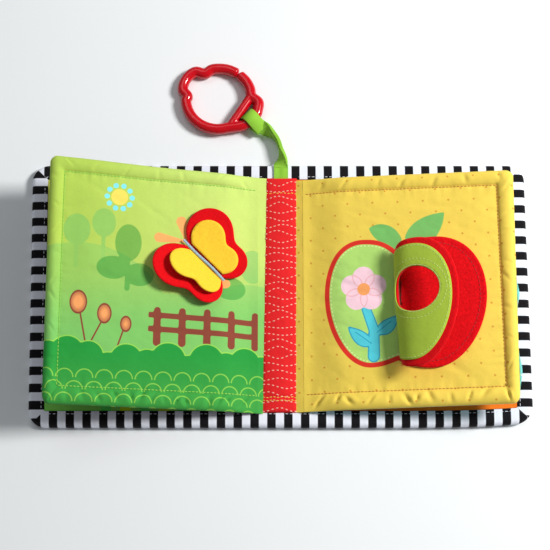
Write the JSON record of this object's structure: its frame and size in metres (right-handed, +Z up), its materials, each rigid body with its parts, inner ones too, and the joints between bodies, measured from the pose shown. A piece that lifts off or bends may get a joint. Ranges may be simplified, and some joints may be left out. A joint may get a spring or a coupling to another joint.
{
  "type": "soft cloth activity book",
  "caption": "Padded cloth activity book lying open, with felt wings and a peekaboo flap to lift, a striped binding, and a strap with an open plastic link ring.",
  "frame": {"origin": "centre of the spine's flat outer face, on the surface that the open book lies on", "axes": "+X across the open book to the reader's right, +Y along the spine towards the strap, +Z up"},
  "size_m": [0.344, 0.2695, 0.0523],
  "materials": {
    "cover_cloth": "plain woven cotton, turquoise",
    "batting": "white polyester batting, sewn in",
    "orange_lining": "plain woven cotton, orange",
    "yellow_lining": "printed woven cotton, yellow with green stripes",
    "striped_binding": "woven cotton tape, black and white stripes",
    "red_strip": "woven cotton, red with pale wavy dashed lines",
    "green_tape": "folded cotton tape, lime green",
    "green_page": "printed woven polyester, greens, padded",
    "dark_page": "printed woven polyester, dark brown",
    "yellow_page": "printed woven polyester, yellow with orange dots, padded",
    "turquoise_page": "printed woven polyester, turquoise",
    "green_thread": "sewing thread, yellow-green",
    "orange_thread": "sewing thread, orange-yellow",
    "blue_thread": "satin stitched seam, light blue and white",
    "red_felt": "felt, red, matt with a short nap",
    "yellow_felt": "felt, yellow, matt with a short nap",
    "olive_lining": "woven cotton, olive green",
    "red_plastic": "moulded plastic, glossy red"
  },
  "bodies": {
    "spine": {"spine_outer": "cover_cloth", "spine_batting": "batting", "spine_lining": "orange_lining", "spine_binding_top": "striped_binding", "spine_binding_bottom": "striped_binding", "spine_strip": "red_strip", "strap_anchor": "green_tape"},
    "left_cover": {"left_cover_outer": "cover_cloth", "left_cover_batting": "batting", "left_cover_lining": "yellow_lining", "left_cover_binding": "striped_binding"},
    "right_cover": {"right_cover_outer": "cover_cloth", "right_cover_batting": "batting", "right_cover_lining": "orange_lining", "right_cover_binding": "striped_binding"},
    "left_leaf": {"left_leaf_front": "green_page", "left_leaf_back": "dark_page", "left_leaf_batting": "batting", "left_leaf_topstitch": "green_thread", "butterfly_seam": "blue_thread"},
    "right_leaf": {"right_leaf_front": "yellow_page", "right_leaf_back": "turquoise_page", "right_leaf_batting": "batting", "right_leaf_topstitch": "orange_thread", "apple_half_felt": "red_felt", "flap_hinge_seam": "red_felt"},
    "red_wing_left": {"red_wing_left_felt": "red_felt"},
    "yellow_wing_left": {"yellow_wing_left_felt": "yellow_felt"},
    "red_wing_right": {"red_wing_right_felt": "red_felt"},
    "yellow_wing_right": {"yellow_wing_right_felt": "yellow_felt"},
    "apple_flap": {"flap_felt": "red_felt", "flap_lining": "olive_lining"},
    "strap_part": {"strap": "green_tape"},
    "ring_part": {"link_ring": "red_plastic"}
  },
  "joints": [
    {"name": "left_cover_fold", "type": "hinge", "parent": "spine", "child": "left_cover", "pos_m": [-0.013, 0, 0.005], "axis": [0, 1, 0], "range_deg": [-90, 90]},
    {"name": "right_cover_fold", "type": "hinge", "parent": "spine", "child": "right_cover", "pos_m": [0.013, 0, 0.005], "axis": [0, -1, 0], "range_deg": [-90, 90]},
    {"name": "left_leaf_turn", "type": "hinge", "parent": "left_cover", "child": "left_leaf", "pos_m": [-0.016, 0, 0.0072], "axis": [0, -1, 0], "range_deg": [-110, 12]},
    {"name": "right_leaf_turn", "type": "hinge", "parent": "right_cover", "child": "right_leaf", "pos_m": [0.016, 0, 0.0072], "axis": [0, 1, 0], "range_deg": [-110, 7.5]},
    {"name": "red_wing_left_lift", "type": "hinge", "parent": "left_leaf", "child": "red_wing_left", "pos_m": [-0.05416, 0.01899, 0.02267], "axis": [0.7095, -0.6884, -0.1508], "range_deg": [-45, 10]},
    {"name": "yellow_wing_left_lift", "type": "hinge", "parent": "red_wing_left", "child": "yellow_wing_left", "pos_m": [-0.05438, 0.01835, 0.02459], "axis": [0.7095, -0.6884, -0.1508], "range_deg": [-16, 14]},
    {"name": "red_wing_right_lift", "type": "hinge", "parent": "left_leaf", "child": "red_wing_right", "pos_m": [-0.05173, 0.02161, 0.02216], "axis": [-0.7095, 0.6884, 0.1508], "range_deg": [-51, 4]},
    {"name": "yellow_wing_right_lift", "type": "hinge", "parent": "red_wing_right", "child": "yellow_wing_right", "pos_m": [-0.05064, 0.02239, 0.02369], "axis": [-0.7095, 0.6884, 0.1508], "range_deg": [-27, 3]},
    {"name": "apple_flap_open", "type": "hinge", "parent": "right_leaf", "child": "apple_flap", "pos_m": [0.07885, -0.0121, 0.02395], "axis": [0, -1, 0], "range_deg": [-10, 154]},
    {"name": "strap_swing", "type": "hinge", "parent": "spine", "child": "strap_part", "pos_m": [0.0004, 0.095, 0.00685], "axis": [-1, 0, 0], "range_deg": [-90, 60]},
    {"name": "ring_swing", "type": "hinge", "parent": "strap_part", "child": "ring_part", "pos_m": [-0.0213, 0.1313, 0.0055], "axis": [0.7071, 0.7071, 0], "range_deg": [-75, 75]}
  ]
}
